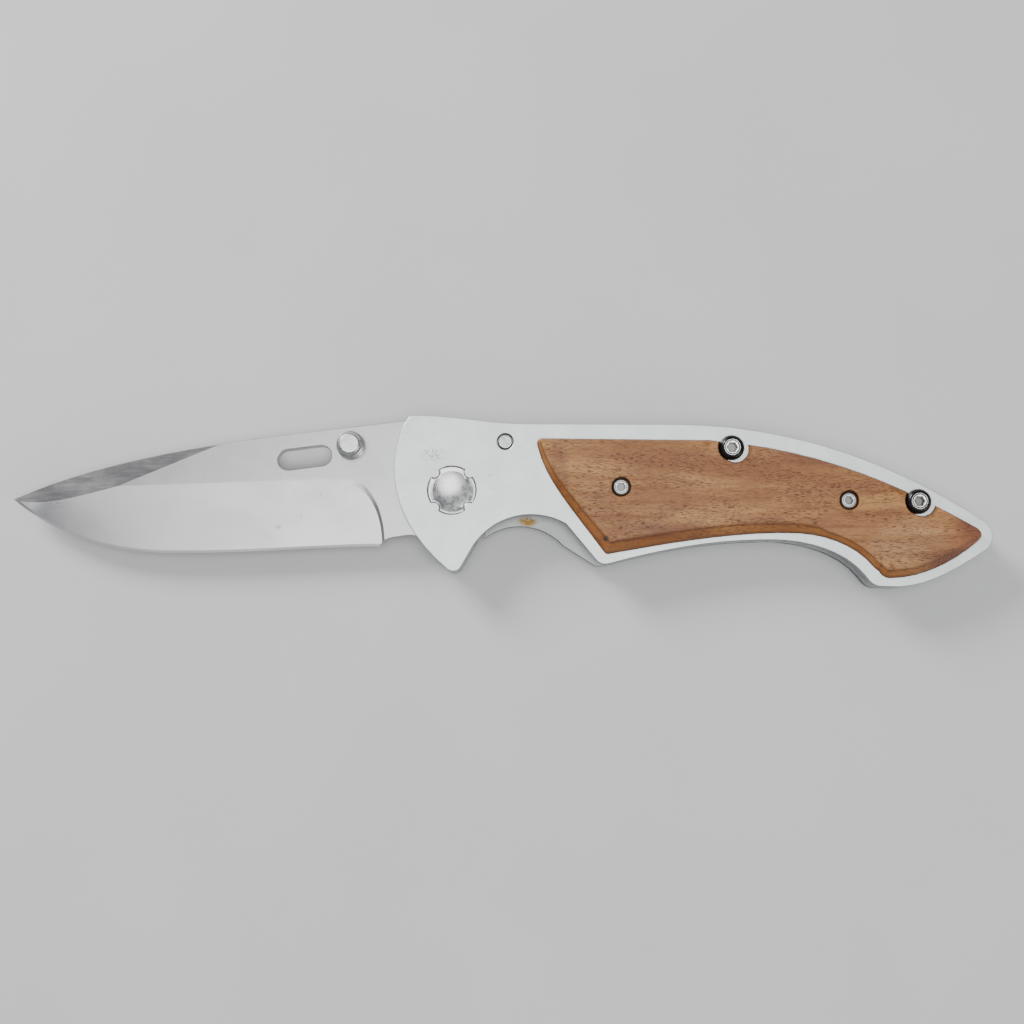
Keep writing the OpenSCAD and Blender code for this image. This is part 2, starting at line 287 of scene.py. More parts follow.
class Skin:
    """The faces of one closed mesh, put together from sheets that follow a plan and walls between them."""

    def __init__(self):
        self.verts = []
        self.faces = []

    def ring(self, plan, z):
        """Adds an outline's points at one height and returns their numbers."""
        first = len(self.verts)
        self.verts += [(x, y, z) for x, y in plan]
        return list(range(first, len(self.verts)))

    def sheet(self, plan, tri, border, heights, up=True):
        """Adds a sheet and returns its border loops, longest first, as lists of point numbers."""
        first = len(self.verts)
        self.verts += [(x, y, z) for (x, y), z in zip(plan, heights)]
        self.faces += [tuple(first + i for i in (t if up else t[::-1])) for t in tri]
        after = dict(border)
        loops, left = [], set(after)
        while left:
            here = next(iter(left))
            loop = []
            while here in left:
                left.discard(here)
                loop.append(first + here)
                here = after[here]
            loops.append(loop)
        return sorted(loops, key=len, reverse=True)

    def wall(self, upper, lower):
        """Joins two rings of as many points, and returns the lower one."""
        for i in range(len(upper)):
            j = (i + 1) % len(upper)
            self.faces.append((upper[j], upper[i], lower[i], lower[j]))
        return lower

    def drop(self, loop, z):
        """A wall straight down from a ring to a height, where it returns the ring that it ends in."""
        return self.wall(loop, self.ring(self.plan_of(loop), z))

    def plan_of(self, loop):
        return np.array([self.verts[i][:2] for i in loop])

    def cap(self, loops, z, up=False):
        """Closes the area inside the first loop and outside the others with a flat sheet."""
        plan, tri, border = triangulated([self.plan_of(loop) for loop in loops])
        self.sheet(plan, tri, border, np.full(len(plan), z), up)

    def piece(self, name, sharp_deg):
        return finished(name, self.verts, self.faces, sharp_deg)


def placed(piece, material, body, node):
    """Gives a piece its material and puts it in the place of a CAD node."""
    piece.data.materials.append(material)
    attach(piece, body)
    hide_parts(node)


# ---------------------------------------------------------------- materials

class Shader:
    """A node material built in code. Lengths inside it are in mm, from the object's own coordinates."""

    def __init__(self, name, base, metallic, roughness, **sockets):
        self.material = bpy.data.materials.new(name)
        self.material.use_nodes = True
        self.tree = self.material.node_tree
        self.bsdf = self.tree.nodes["Principled BSDF"]
        self.bsdf.inputs["Base Color"].default_value = (*base, 1)
        self.bsdf.inputs["Metallic"].default_value = metallic
        self.bsdf.inputs["Roughness"].default_value = roughness
        for socket, value in sockets.items():
            self.bsdf.inputs[socket.replace("_", " ")].default_value = value
        coordinates = self.tree.nodes.new("ShaderNodeTexCoord")
        self.normal = coordinates.outputs["Normal"]
        self.place = self.vector("MULTIPLY", coordinates.outputs["Object"], (1 / MM,) * 3)

    def add(self, kind, settings=(), **inputs):
        """A node of a kind, with its settings and with numbers or sockets fed to its inputs by name."""
        node = self.tree.nodes.new("ShaderNode" + kind)
        for key, value in dict(settings).items():
            setattr(node, key, value)
        for key, value in inputs.items():
            self.feed(node.inputs[key.replace("_", " ")], value)
        return node

    def feed(self, socket, value):
        if isinstance(value, bpy.types.NodeSocket):
            self.tree.links.new(value, socket)
        else:
            socket.default_value = value

    def math(self, operation, a, b=0.0, clamp=False):
        node = self.add("Math", {"operation": operation, "use_clamp": clamp})
        self.feed(node.inputs[0], a)
        self.feed(node.inputs[1], b)
        return node.outputs[0]

    def times(self, a, b):
        return self.math("MULTIPLY", a, b)

    def vector(self, operation, a, b=(0, 0, 0)):
        node = self.add("VectorMath", {"operation": operation})
        self.feed(node.inputs[0], a)
        self.feed(node.inputs[1], b)
        return node.outputs["Value" if operation == "LENGTH" else "Vector"]

    def part_of(self, vector, axis):
        return self.add("SeparateXYZ", Vector=vector).outputs[axis]

    def stretched(self, scale, turn=0.0, shift=(0, 0, 0)):
        """The place, turned about Z by so many degrees and scaled along each axis, to draw a noise out."""
        node = self.add("Mapping", Vector=self.place, Scale=scale, Location=shift)
        node.inputs["Rotation"].default_value = (0, 0, math.radians(turn))
        return node.outputs["Vector"]

    def noise(self, at, scale=1.0, detail=3.0, roughness=0.5, distortion=0.0):
        look = {"Scale": scale, "Detail": detail, "Roughness": roughness, "Distortion": distortion}
        return self.add("TexNoise", Vector=at, **look).outputs["Fac"]

    def between(self, value, low, high, to_low=0.0, to_high=1.0):
        """value from low..high onto to_low..to_high, smoothly, and clamped at both ends."""
        node = self.add("MapRange", {"interpolation_type": "SMOOTHSTEP"}, Value=value)
        for socket, number in zip(("From Min", "From Max", "To Min", "To Max"), (low, high, to_low, to_high)):
            node.inputs[socket].default_value = number
        return node.outputs["Result"]

    def mix(self, share, a, b):
        """Colour a with a share of colour b over it."""
        node = self.add("Mix", {"data_type": "RGBA"}, Factor=share)
        first_colour, second_colour, result = node.inputs[6], node.inputs[7], node.outputs[2]
        for socket, value in ((first_colour, a), (second_colour, b)):
            self.feed(socket, (*value, 1) if isinstance(value, tuple) else value)
        return result

    def spot(self, centre, reach, noise_scale=0.0, noise_from=0.45):
        """1 at a place and 0 beyond its reach in x and y, broken up by noise if a scale is given."""
        off = self.vector("SUBTRACT", self.place, (centre[0], centre[1], 0))
        flat = self.vector("MULTIPLY", off, (1 / reach[0], 1 / reach[1], 0))
        near = self.between(self.vector("LENGTH", flat), 0.35, 1.0, 1.0, 0.0)
        if not noise_scale:
            return near
        grit = self.noise(self.place, noise_scale, 4, 0.7)
        return self.times(near, self.between(grit, noise_from, noise_from + 0.16))

    def bump(self, *heights):
        """Each height is (value, depth in mm for a value of 1). They are joined one after another."""
        normal = None
        for value, depth in heights:
            node = self.add("Bump", Height=value, Strength=1.0, Distance=depth * MM)
            if normal is not None:
                self.feed(node.inputs["Normal"], normal)
            normal = node.outputs["Normal"]
        self.feed(self.bsdf.inputs["Normal"], normal)

    def finish(self, colour, roughness=None):
        self.feed(self.bsdf.inputs["Base Color"], colour)
        if roughness is not None:
            self.feed(self.bsdf.inputs["Roughness"], roughness)
        return self.material


def scaled(colour, factor):
    return tuple(min(1.0, channel * factor) for channel in colour)


def blasted_steel(name, tone, marks=()):
    """Matt bead-blasted steel. Its sides are darker, partly raw sheared steel and partly painted shade, and
    its arrises are brighter, partly wear and partly a painted highlight.

    Each mark is (place, reach, colour, noise scale, noise level that it starts at, how much of it shows).
    """
    s = Shader(name, tone, metallic=0.85, roughness=0.5)
    grain = s.noise(s.place, 7.0, 3, 0.6)
    cloud = s.noise(s.place, 0.16, 4, 0.55)
    speck = s.between(s.noise(s.place, 2.6, 1, 0.4), 0.735, 0.77)
    hair = s.noise(s.stretched((0.035, 5.0, 1.0), 24), 1.0, 2, 0.5)
    hairs = s.times(s.between(hair, 0.69, 0.73), s.between(s.noise(s.place, 0.09, 2), 0.5, 0.62))
    upward = s.part_of(s.normal, "Z")
    upper = s.between(upward, 0.2, 0.6)
    level = s.math("ABSOLUTE", upward)
    # side: painted shade on the steep sides in place of a dark reflection, plus some of the sheared steel's
    # own darkness; worn: wear on the arrises with a painted highlight
    side = s.between(level, 0.5, 0.92, 1.0, 0.0)
    worn = s.math("SUBTRACT", s.between(level, 0.95, 0.995, 1.0, 0.0), side, clamp=True)

    colour = s.mix(s.between(cloud, 0.3, 0.7), scaled(tone, 0.9), scaled(tone, 1.06))
    colour = s.mix(s.between(grain, 0.35, 0.75, 0.0, 0.16), colour, scaled(tone, 0.72))
    colour = s.mix(s.times(speck, 0.4), colour, (0.2, 0.2, 0.21))
    colour = s.mix(s.times(hairs, 0.35), colour, (0.95, 0.95, 0.95))
    for place, reach, ink, noise_scale, noise_from, share in marks:
        spot = s.times(s.spot(place, reach, noise_scale, noise_from), upper)
        colour = s.mix(s.times(spot, share), colour, ink)
    # Painted shade darkens the sides, then wear and a painted highlight brighten the arrises
    colour = s.mix(s.times(side, 0.75), colour, (0.13, 0.14, 0.15))
    colour = s.mix(s.times(worn, 0.5), colour, (0.88, 0.89, 0.9))
    s.bump((grain, 0.012), (hairs, 0.01))
    matt = s.between(cloud, 0.3, 0.7, 0.47, 0.51)
    return s.finish(colour, s.math("SUBTRACT", matt, s.times(worn, 0.16)))


def satin_blade():
    """Satin blade steel: fine lines across the ground face, faint clouds, a few stains, a false edge painted
    darker as a painted reflection with streaks along it, and a sharpened edge painted bright as a painted
    highlight.
    """
    s = Shader("satin_blade", (0.5, 0.5, 0.505), metallic=0.9, roughness=0.3)
    across = s.noise(s.stretched((5.5, 0.16, 0.4), 3), 1.0, 4, 0.65)
    fine = s.noise(s.stretched((16.0, 0.5, 1.0), -2), 1.0, 2, 0.5)
    along = s.noise(s.stretched((0.2, 1.6, 1.0), -20), 1.0, 4, 0.65)
    cloud = s.noise(s.stretched((0.1, 0.16, 0.1)), 1.0, 4, 0.6)
    blotch = s.noise(s.stretched((0.35, 1.1, 1.0)), 1.0, 5, 0.7)
    stain = s.times(s.between(blotch, 0.6, 0.68), s.between(s.noise(s.place, 0.09, 2), 0.5, 0.6))
    face = s.between(s.math("ABSOLUTE", s.part_of(s.normal, "Z")), 0.8, 0.9)
    to_spine = s.part_of(s.normal, "Y")
    ground = s.between(to_spine, -0.075, -0.04, 1.0, 0.0)
    swedge = s.times(s.between(to_spine, 0.08, 0.14), face)
    honed_highlight = s.times(s.between(to_spine, -0.24, -0.16, 1.0, 0.0), face)

    colour = s.mix(s.between(cloud, 0.3, 0.7), (0.47, 0.472, 0.478), (0.55, 0.552, 0.556))
    colour = s.mix(s.between(across, 0.3, 0.75, 0.0, 0.25), colour, (0.36, 0.36, 0.37))
    colour = s.mix(s.times(stain, 0.28), colour, (0.3, 0.3, 0.32))
    brushed = s.mix(across, (0.45, 0.442, 0.452), (0.61, 0.602, 0.612))
    colour = s.mix(s.times(ground, 0.55), colour, brushed)
    # The false edge is painted darker: a painted reflection of dark surroundings, with streaks along it
    streaked_painted_reflection = s.mix(s.between(along, 0.35, 0.7), (0.33, 0.322, 0.326), (0.5, 0.49, 0.492))
    colour = s.mix(s.times(swedge, 0.9), colour, streaked_painted_reflection)
    # The sharpened edge is painted near white: a painted highlight
    colour = s.mix(s.times(honed_highlight, 0.9), colour, (0.9, 0.9, 0.9))
    pits = (((-35.2, -7.2), (0.7, 0.55)), ((-30.6, -5.0), (0.3, 0.3)), ((-26.6, -0.6), (0.35, 0.25)))
    for place, reach in pits:
        colour = s.mix(s.times(s.spot(place, reach, 5.0, 0.42), 0.7), colour, (0.16, 0.16, 0.17))
    s.bump((across, 0.006), (fine, 0.004))
    roughness = s.math("SUBTRACT", s.between(cloud, 0.3, 0.7, 0.27, 0.36), s.times(swedge, 0.1))
    return s.finish(colour, s.math("ADD", roughness, s.times(honed_highlight, 0.12)))


def turned_steel(name, tone, roughness, centre, ring_pitch, depth):
    """Steel with the rings of a turning tool about an upright axis."""
    s = Shader(name, tone, metallic=1.0, roughness=roughness, Anisotropic=0.4)
    off = s.vector("SUBTRACT", s.place, (centre[0], centre[1], 0))
    r = s.vector("LENGTH", s.vector("MULTIPLY", off, (1, 1, 0)))
    wobble = s.times(s.noise(s.place, 1.4, 3, 0.6), 2.5)
    rings = s.math("SINE", s.math("ADD", s.times(r, 2 * math.pi / ring_pitch), wobble))
    cloud = s.noise(s.place, 0.9, 4, 0.6)
    worn = s.between(s.noise(s.place, 2.4, 4, 0.7), 0.6, 0.72)
    colour = s.mix(s.between(cloud, 0.3, 0.7), scaled(tone, 0.8), tone)
    colour = s.mix(s.times(worn, 0.1), colour, scaled(tone, 0.5))
    s.bump((s.between(rings, -1.0, 1.0), depth), (worn, 0.006))
    return s.finish(colour, s.between(cloud, 0.3, 0.7, roughness * 0.8, roughness * 1.35))


def screw_steel(name, dome, ring, roughness, socket_z):
    """A screw whose dome keeps its finish, with a bright flat ring, and its socket below socket_z painted
    dark as painted shade.
    """
    s = Shader(name, dome, metallic=0.9, roughness=roughness)
    flat = s.between(s.part_of(s.normal, "Z"), 0.985, 0.997)
    grit = s.noise(s.place, 4.0, 4, 0.65)
    scuff = s.between(grit, 0.58, 0.68)
    scuffed_dome = s.mix(s.times(scuff, 0.25), dome, ring)
    scuffed_ring = s.mix(s.times(scuff, 0.4), ring, dome)
    # Painted shade: the socket is painted near black from just below socket_z down
    socket_shade = s.between(s.part_of(s.place, "Z"), socket_z - 0.25, socket_z, 1.0, 0.0)
    colour = s.mix(s.times(socket_shade, 0.85), s.mix(flat, scuffed_dome, scuffed_ring), (0.06, 0.06, 0.06))
    s.bump((grit, 0.008))
    return s.finish(colour, s.between(grit, 0.3, 0.7, roughness * 0.8, roughness * 1.3))


def bronze():
    s = Shader("bronze", (0.6, 0.36, 0.2), metallic=1.0, roughness=0.35)
    cloud = s.noise(s.place, 0.8, 4, 0.6)
    fine = s.noise(s.place, 8.0, 2, 0.5)
    s.bump((fine, 0.005))
    colour = s.mix(s.between(cloud, 0.3, 0.7), (0.5, 0.29, 0.15), (0.68, 0.43, 0.24))
    return s.finish(colour, s.between(cloud, 0.3, 0.7, 0.28, 0.45))


# Where the wood is darkest: (place, reach, how much of it shows)
BURNT = (
    ((104.5, -6.5), (5.5, 5.0), 0.8),
    ((99.5, -14.0), (9.5, 3.0), 0.8),
    ((76.0, 7.0), (17.0, 3.0), 0.6),
    ((21.5, 5.0), (2.6, 8.0), 0.45),
    ((46.0, -9.0), (11.0, 3.5), 0.4),
)


def oiled_wood():
    """Mid-brown hardwood, its grain along X, with short dark pores, edges that darkened when sanded, and
    painted shade along its foot where it meets the slab.
    """
    coat = {"Coat_Weight": 0.12, "Coat_Roughness": 0.35}
    s = Shader("oiled_wood", (0.4, 0.2, 0.1), metallic=0.0, roughness=0.45, **coat)
    bend = s.noise(s.stretched((0.03, 0.05, 0.05)), 1.0, 2, 0.5)
    lift = s.vector("MULTIPLY", s.add("CombineXYZ", Y=bend).outputs[0], (0, 4, 0))
    lifted = s.vector("ADD", s.place, lift)

    def along(scale, detail, rough=0.6, shift=(0, 0, 0)):
        node = s.add("Mapping", Vector=lifted, Scale=scale, Location=shift)
        return s.noise(node.outputs["Vector"], 1.0, detail, rough)

    broad = along((0.035, 0.2, 0.2), 3)
    streak = along((0.07, 1.1, 1.1), 4, 0.65)
    fibre = along((0.3, 7.0, 7.0), 3, 0.7)
    pore = along((0.85, 8.5, 8.5), 2, 0.55, (3, 7, 0))
    pore_zone = along((0.06, 0.22, 0.22), 3, 0.5, (11, 2, 0))
    pores = s.times(s.between(pore, 0.58, 0.635), s.between(pore_zone, 0.38, 0.58, 0.35, 1.0))
    figure = s.noise(s.stretched((0.07, 0.17, 0.2), 0, (5, 1, 0)), 1.0, 4, 0.6, 1.2)
    height = s.part_of(s.place, "Z")
    chamfer = s.between(height, WOOD_TOP - 0.28, WOOD_TOP - 0.05, 1.0, 0.0)
    crease = s.times(chamfer, s.between(height, WOOD_TOP - 0.42, WOOD_TOP - 0.2))
    # rim: painted shade, a dark band along the inlay's foot where it meets the slab's face
    rim = s.between(height, FACE_Z + 0.02, FACE_Z + 0.6, 1.0, 0.0)
    tail = s.between(s.part_of(s.place, "X"), 94.0, 106.0)
    rubbed = s.times(s.spot((91.0, -11.0), (11.0, 6.0)), s.between(streak, 0.3, 0.6, 1.0, 0.3))
    chip = s.spot((30.7, -9.9), (0.9, 0.7), 3.0, 0.4)

    colour = s.mix(s.between(broad, 0.32, 0.68), (0.26, 0.094, 0.019), (0.5, 0.24, 0.07))
    colour = s.mix(s.between(streak, 0.45, 0.75, 0.0, 0.6), colour, (0.2, 0.063, 0.013))
    colour = s.mix(s.between(figure, 0.55, 0.72, 0.0, 0.5), colour, (0.21, 0.085, 0.032))
    colour = s.mix(s.between(fibre, 0.35, 0.75, 0.0, 0.4), colour, (0.21, 0.067, 0.014))
    sanded = s.mix(s.between(streak, 0.3, 0.6), (0.2, 0.052, 0.008), (0.32, 0.105, 0.017))
    colour = s.mix(s.times(chamfer, 0.45), colour, sanded)
    colour = s.mix(s.times(crease, 0.75), colour, (0.09, 0.027, 0.008))
    colour = s.mix(s.times(rim, 0.8), colour, (0.04, 0.011, 0.004))
    colour = s.mix(s.times(tail, 0.7), colour, (0.22, 0.045, 0.005))
    colour = s.mix(s.times(rubbed, 0.45), colour, (0.5, 0.29, 0.15))
    for place, reach, share in BURNT:
        burnt = s.times(s.spot(place, reach), s.between(fibre, 0.25, 0.6, 0.6, 1.0))
        colour = s.mix(s.times(burnt, share), colour, (0.14, 0.032, 0.008))
    colour = s.mix(s.times(pores, 0.85), colour, (0.035, 0.012, 0.006))
    colour = s.mix(s.times(chip, 0.85), colour, (0.02, 0.015, 0.015))
    s.bump((fibre, 0.02), (s.math("SUBTRACT", 1.0, pores), 0.05), (s.math("SUBTRACT", 1.0, chip), 0.12))
    return s.finish(colour, s.math("ADD", s.between(streak, 0.3, 0.7, 0.38, 0.5), s.times(pores, 0.2)))


def pale_floor():
    s = Shader("pale_floor", (0.7, 0.7, 0.69), metallic=0.0, roughness=0.7)
    cloud = s.noise(s.place, 0.02, 3, 0.5)
    return s.finish(s.mix(s.between(cloud, 0.3, 0.7), (0.685, 0.685, 0.675), (0.715, 0.715, 0.705)))


# ---------------------------------------------------------------- camera, light and floor

# The camera stands above the knife and a little to its edge side, and looks slightly up towards the spine
EYE = (13.78, -32.92, 286.5)
EYE_TILT, EYE_BANK = 5.83, 0.35
LENS, SENSOR = 49.25, 36

# A broad panel overhead, a lower key light from the upper left, and weak light from the right and from under:
# each lamp's place from the knife's middle in m, its size in m and its power in W
LAMPS = {
    "overhead": ((0.03, -0.1, 0.92), 0.75, 4.8),
    "key": ((-0.55, 0.6, 0.4), 0.34, 8.5),
    "fill": ((0.6, -0.4, 0.3), 0.5, 1.2),
    "under": ((-0.2, -0.3, -0.5), 0.6, 2.0),
}
SKY, SKY_STRENGTH = (0.92, 0.95, 1.0), 0.3

# The floor's half width and its gap below the knife, in m
FLOOR_REACH, FLOOR_GAP = 3.0, 0.0003


def camera():
    data = bpy.data.cameras.new("camera")
    data.sensor_width = SENSOR
    data.lens = LENS
    eye = bpy.data.objects.new("camera", data)
    eye.location = Vector(EYE) * MM
    eye.rotation_euler = Euler((math.radians(EYE_TILT), math.radians(EYE_BANK), 0))
    bpy.context.scene.collection.objects.link(eye)
    bpy.context.scene.camera = eye


def studio():
    middle = (CAD_LOW + CAD_HIGH) / 2
    for name, (offset, size, power) in LAMPS.items():
        data = bpy.data.lights.new(name, "AREA")
        data.shape = "DISK"
        data.size = size
        data.energy = power
        lamp = bpy.data.objects.new(name, data)
        place = middle + Vector(offset)
        lamp.location = place
        lamp.rotation_euler = (middle - place).to_track_quat("-Z", "Y").to_euler()
        bpy.context.scene.collection.objects.link(lamp)
    world = bpy.data.worlds.new("studio")
    world.use_nodes = True
    sky = world.node_tree.nodes["Background"]
    sky.inputs["Color"].default_value = (*SKY, 1)
    sky.inputs["Strength"].default_value = SKY_STRENGTH
    bpy.context.scene.world = world


def floor():
    mesh = bpy.data.meshes.new("floor")
    z = CAD_LOW.z - FLOOR_GAP
    corners = [(x * FLOOR_REACH, y * FLOOR_REACH, z) for x, y in ((-1, -1), (1, -1), (1, 1), (-1, 1))]
    mesh.from_pydata(corners, [], [(0, 1, 2, 3)])
    plane = bpy.data.objects.new("floor", mesh)
    bpy.context.scene.collection.objects.link(plane)
    plane.data.materials.append(pale_floor())


# ---------------------------------------------------------------- wood inlay

# The screws' counterbores: radius, depth, and the softened edge round them
BORE_R, BORE_DEPTH = 2.0, 1.5
BORE_SOFT, BORE_SOFT_DROP = 0.2, 0.1
# How far the chamfer's foot stays above the slab's face, and how softly it turns into the flat top
CHAMFER_FOOT, CHAMFER_BLEND = 0.12, 0.15
# The chamfer's width in the plan: on the tail and spine sides, at the hook, and as (place, width) pairs up
# the front end and along the lower edge
PLAIN_CHAMFER, HOOK_CHAMFER = 0.38, 1.3
FRONT_CHAMFER = ((-12, 2.5), (9, 1.0))
LOWER_CHAMFER = ((31, 2.7), (60, 2.5), (76, 2.0), (84, 1.3), (90, 1.9), (106, 1.4))
FRONT_CORNER, FRONT_CORNER_R = np.array([30.9, -12.4]), 1.6


def chamfer_widths(outline):
    """The chamfer's width at each point of the inlay's outline."""
    facing = normals_of(outline)
    x, y = outline[:, 0], outline[:, 1]
    width = np.full(len(outline), PLAIN_CHAMFER)
    front = (facing[:, 0] < -0.6) & (x < 31)
    width[front] = np.interp(y[front], *zip(*FRONT_CHAMFER))
    lower = (facing[:, 1] < -0.35) & (x > 30.8)
    width[lower] = np.interp(x[lower], *zip(*LOWER_CHAMFER))
    hook = (x > 76) & (x < 86.5) & (y < -9.5)
    width[hook] = HOOK_CHAMFER
    at_corner = distance_from(outline, FRONT_CORNER) < FRONT_CORNER_R
    for _ in range(12):
        smooth = (np.roll(width, 1) + width + np.roll(width, -1)) / 3
        width = np.where(at_corner, width, smooth)
    return width


def chamfer_lines(outline, width, centres, share_at):
    """Mesh points at fixed shares of the chamfer's width, so that its slope and its upper edge are clean."""
    lines = []
    for share in (0.3, 0.6, 0.85, 1.0, 1.15):
        ring = outline - normals_of(outline) * (width * share)[:, None]
        lines.append(ring[inside(ring, outline) & (share_at(ring) > share - 0.03)])
    lines = np.vstack(lines)
    clear = np.all([distance_from(lines, centre) > BORE_R + 0.6 for centre in centres], axis=0)
    return lines[clear & (segment_distance(lines, outline) > 0.08)]


def wood_top(plan, share, centres):
    """The height of the inlay's upper face at each point of its plan."""
    fall = np.clip(1 - share, 0, None)
    rounded = fall * fall / (2 * CHAMFER_BLEND)
    fall = np.where(fall > CHAMFER_BLEND, fall - CHAMFER_BLEND / 2, rounded)
    top = WOOD_TOP - (WOOD_TOP - FACE_Z - CHAMFER_FOOT) * np.clip(fall, 0, 1)
    for centre in centres:
        off = distance_from(plan, centre) - BORE_R
        top -= BORE_SOFT_DROP * np.clip(1 - off / BORE_SOFT, 0, 1) ** 2 * (off > -0.05)
    return top


def wood_inlay():
    """A raised scale: a flat top, sanded chamfers, notches for two screws, and two counterbores."""
    upper = section("wood_inlay", WOOD_TOP - 0.1)
    lower = section("wood_inlay", WOOD_LOW + 0.1)
    outline = resampled(without_duplicates(anticlockwise(upper[0])), OUTLINE_STEP)
    bores = [without_duplicates(p) for p in upper[1:3]]
    shanks = [without_duplicates(p) for p in lower[1:3]]
    centres = [p.mean(0) for p in bores]

    width = chamfer_widths(outline)
    dense = resampled(outline, 0.1)
    along = np.linspace(0, len(outline), len(dense), endpoint=False)
    dense_width = np.interp(along, np.arange(len(outline) + 1), np.r_[width, width[0]])

    def share_at(points):
        return distance_to(points, dense, dense_width)

    steps = chamfer_lines(outline, width, centres, share_at)
    grid = grid_inside(outline, bores, step=0.5, clear=0.16)
    grid = grid[distance_to(grid, steps) > 0.25]
    rings = [closed(circle(centre, r)) for centre in centres for r in (BORE_R + 0.12, BORE_R + 0.35)]
    plan, tri, border = triangulated([outline] + bores, rings, np.vstack([grid, steps]))

    skin = Skin()
    loops = skin.sheet(plan, tri, border, wood_top(plan, share_at(plan), centres))
    bottom = [skin.drop(loops[0], WOOD_LOW)]
    for loop in loops[1:]:
        around = skin.plan_of(loop)
        centre = around.mean(0)
        outward = (around - centre) / distance_from(around, centre)[:, None]
        shank = min(shanks, key=lambda p: np.linalg.norm(p.mean(0) - centre))
        inner = centre + outward * distance_from(shank, shank.mean(0)).mean()
        ledge = skin.drop(loop, WOOD_TOP - BORE_DEPTH)
        step = skin.wall(ledge, skin.ring(inner, WOOD_TOP - BORE_DEPTH))
        bottom.append(skin.drop(step, WOOD_LOW))
    skin.cap(bottom, WOOD_LOW)
    placed(skin.piece("wood_scale", sharp_deg=32), oiled_wood(), "handle", "wood_inlay")


# ---------------------------------------------------------------- blade

# The ground face's upper line, and the plunge: a quarter ellipse about a centre
GRIND_AT, GRIND_TURN = np.array([-20.5, 2.75]), 2.0
PLUNGE_CENTRE, PLUNGE_REACH = np.array([-21.5, -10.7]), np.array([7.9, 13.35])
PLUNGE_RAMP = 0.08
# The false edge on the spine
SWEDGE_AT, SWEDGE_TURN, SWEDGE_TILT = np.array([-66.7, 1.6]), 22.5, 10.5
# Half thickness behind the sharpened edge and at the edge itself, and the width between the two
BEHIND_EDGE, AT_EDGE, SHARPENED = 0.2, 0.03, 0.5
# Where the sharpened edge ends, and how far the other arrises are softened
EDGE_END = np.array([-14.8, -11.1])
ARRIS = 0.14
# The sink for the stud's screw, and the dent for the detent ball, on the far side
SINK_R = 1.85
DENT_R, DENT_WALL, DENT_DEPTH = 1.0, 0.1, 0.5
# Of the holes in the blade only the slot has a larger area than this
SLOT_AREA = 25
# How far from the tip the mesh is finer
TIP_REACH = 14


def direction(turn):
    a = math.radians(turn)
    return np.array([math.cos(a), math.sin(a)])


def left_of(turn):
    a = math.radians(turn)
    return np.array([-math.sin(a), math.cos(a)])


def past_line(points, at, turn):
    """How far each point lies to the left of a line through a place."""
    return (points - at) @ left_of(turn)


def plunge_radius(points):
    """Where each point lies against the plunge's ellipse: 1 on it, less inside."""
    off = np.clip((points - PLUNGE_CENTRE) / PLUNGE_REACH, 0, None)
    return np.linalg.norm(off, axis=1)


def ground_half(points, edge):
    below = np.clip(-past_line(points, GRIND_AT, GRIND_TURN), 0, None)
    to_edge = segment_distance(points, edge, is_closed=False)
    return BLADE_HALF - (BLADE_HALF - BEHIND_EDGE) * below / np.clip(below + to_edge, 1e-6, None)


def swedge_half(points):
    return BLADE_HALF - math.tan(math.radians(SWEDGE_TILT)) * past_line(points, SWEDGE_AT, SWEDGE_TURN)


def blade_half(points, edge, back):
    """Half the blade's thickness at each point of its plan."""
    to_edge = segment_distance(points, edge, is_closed=False)
    ramp = np.clip((1 - plunge_radius(points)) / PLUNGE_RAMP, 0, 1)
    ground = BLADE_HALF + (ground_half(points, edge) - BLADE_HALF) * ramp
    sharpened = AT_EDGE + (BEHIND_EDGE - AT_EDGE) * to_edge / SHARPENED
    sharpened = sharpened + (ground - BEHIND_EDGE) * to_edge / SHARPENED
    half = np.minimum(np.minimum(ground, swedge_half(points)), BLADE_HALF)
    half = np.where(to_edge < SHARPENED, np.minimum(half, sharpened), half)
    arris = np.clip(ARRIS - segment_distance(points, back, is_closed=False), 0, None)
    return np.clip(half - arris, AT_EDGE, BLADE_HALF)


def offset_inward(line, distance, loop):
    """An open line moved to the inside of the outline that it is part of."""
    along = np.gradient(line, axis=0)
    along /= np.linalg.norm(along, axis=1)[:, None]
    shift = distance * np.c_[-along[:, 1], along[:, 0]]
    middle = len(line) // 2
    moved = line + shift
    if not inside(moved[middle:middle + 1], loop)[0]:
        moved = line - shift
    return moved[inside(moved, loop) & (segment_distance(moved, loop) > distance * 0.93)]


def junction():
    """Where the grind line and the false edge's line cross."""
    along, across = direction(GRIND_TURN), direction(SWEDGE_TURN)
    reach = np.linalg.solve(np.c_[along, -across], SWEDGE_AT - GRIND_AT)
    return GRIND_AT + along * reach[0]


def faces_meet(outline, edge):
    """The line where the ground face runs into the false edge, from the grind line towards the tip."""
    line = [junction()]
    for x in np.arange(line[0][0] - 0.3, outline[:, 0].min(), -0.3):
        column = np.c_[np.full(500, x), np.linspace(-4, 3, 500)]
        column = column[inside(column, outline)]
        gap = ground_half(column, edge) - swedge_half(column)
        turns = np.nonzero((gap[:-1] < 0) & (gap[1:] >= 0))[0]
        if len(turns) and segment_distance(column[turns[-1:]], outline)[0] > SHARPENED * 0.6:
            line.append(column[turns[-1]])
    return np.array(line)


def plunge_lines(outline):
    """The plunge's upper and lower curves and the one halfway between them."""
    turn = np.radians(np.linspace(0, 90, 60))
    quarter = np.c_[np.cos(turn), np.sin(turn)] * PLUNGE_REACH
    curves = [PLUNGE_CENTRE + quarter * scale for scale in (1.0, 1 - PLUNGE_RAMP / 2, 1 - PLUNGE_RAMP)]
    return [curve[inside(curve, outline)] for curve in curves]


